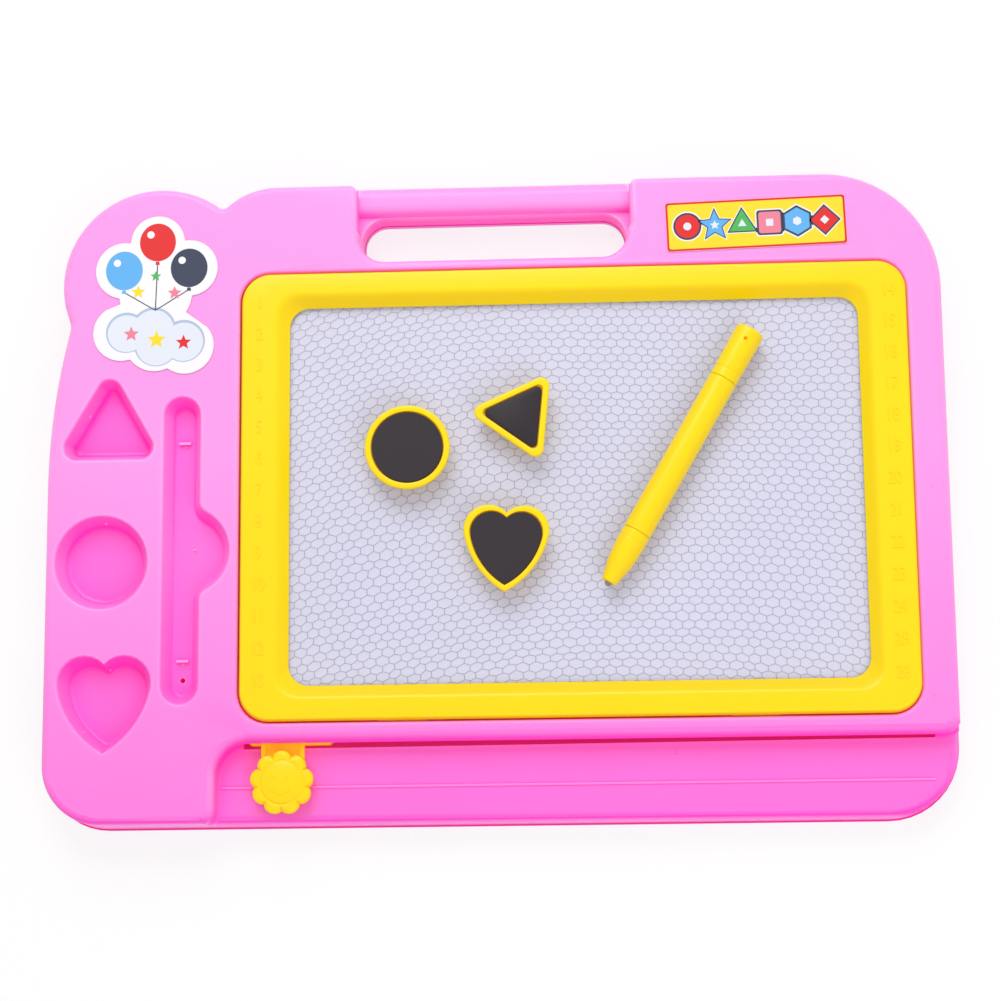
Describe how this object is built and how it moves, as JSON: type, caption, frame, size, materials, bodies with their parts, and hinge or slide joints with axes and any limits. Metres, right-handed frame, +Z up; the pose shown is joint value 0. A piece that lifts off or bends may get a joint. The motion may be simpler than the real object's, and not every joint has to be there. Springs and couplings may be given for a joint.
{
  "type": "magnetic drawing board",
  "caption": "Child's magnetic drawing board with a sliding eraser bar, a loose pen and three shaped stamps, wells for each and a hand hole.",
  "frame": {"origin": "centre of the resting face, at the bottom centre of the bounding box", "axes": "+X along the board towards its right end, +Y towards the hand hole, +Z up from the resting face"},
  "size_m": [0.3816, 0.2746, 0.0318],
  "materials": {
    "case_plastic": "glossy injection-moulded polypropylene, pink",
    "yellow_plastic": "glossy injection-moulded plastic, yellow",
    "clear_sheet": "clear plastic sheet",
    "honeycomb_fill": "milky fluid in honeycomb cells, pale lavender",
    "edge_seal": "cured adhesive",
    "magnet_black": "dull black flexible magnet",
    "screw_steel": "zinc-plated steel",
    "tip_steel": "polished steel round the pen's magnet",
    "sticker_film": "printed vinyl film"
  },
  "bodies": {
    "board": {"front_case": "case_plastic", "back_case": "case_plastic", "case_screw_1": "screw_steel", "case_screw_2": "screw_steel", "case_screw_3": "screw_steel", "case_screw_4": "screw_steel", "case_screw_5": "screw_steel", "case_screw_6": "screw_steel", "case_screw_7": "screw_steel", "case_screw_8": "screw_steel", "case_screw_9": "screw_steel", "screen_frame": "yellow_plastic", "screen_front_sheet": "clear_sheet", "honeycomb_core": "honeycomb_fill", "screen_edge_seal": "edge_seal", "screen_back_sheet": "clear_sheet", "corner_sticker": "sticker_film", "title_sticker": "sticker_film"},
    "eraser": {"eraser_bar": "yellow_plastic", "eraser_magnet": "magnet_black", "slider_knob": "yellow_plastic"},
    "pen": {"pen_barrel": "yellow_plastic", "pen_nose": "yellow_plastic", "pen_cap": "yellow_plastic", "pen_tip": "tip_steel"},
    "circle_stamp": {"circle_stamp_body": "yellow_plastic", "circle_stamp_magnet": "magnet_black"},
    "triangle_stamp": {"triangle_stamp_body": "yellow_plastic", "triangle_stamp_magnet": "magnet_black"},
    "heart_stamp": {"heart_stamp_body": "yellow_plastic", "heart_stamp_magnet": "magnet_black"}
  },
  "joints": [
    {"name": "eraser_slide", "type": "slide", "parent": "board", "child": "eraser", "axis": [1, 0, 0], "range_m": [0, 0.244]},
    {"name": "pen_lift", "type": "slide", "parent": "board", "child": "pen", "axis": [0, 0, 1], "range_m": [0, 0.08]},
    {"name": "circle_stamp_lift", "type": "slide", "parent": "board", "child": "circle_stamp", "axis": [0, 0, 1], "range_m": [0, 0.06]},
    {"name": "triangle_stamp_lift", "type": "slide", "parent": "board", "child": "triangle_stamp", "axis": [0, 0, 1], "range_m": [0, 0.06]},
    {"name": "heart_stamp_lift", "type": "slide", "parent": "board", "child": "heart_stamp", "axis": [0, 0, 1], "range_m": [0, 0.06]}
  ]
}
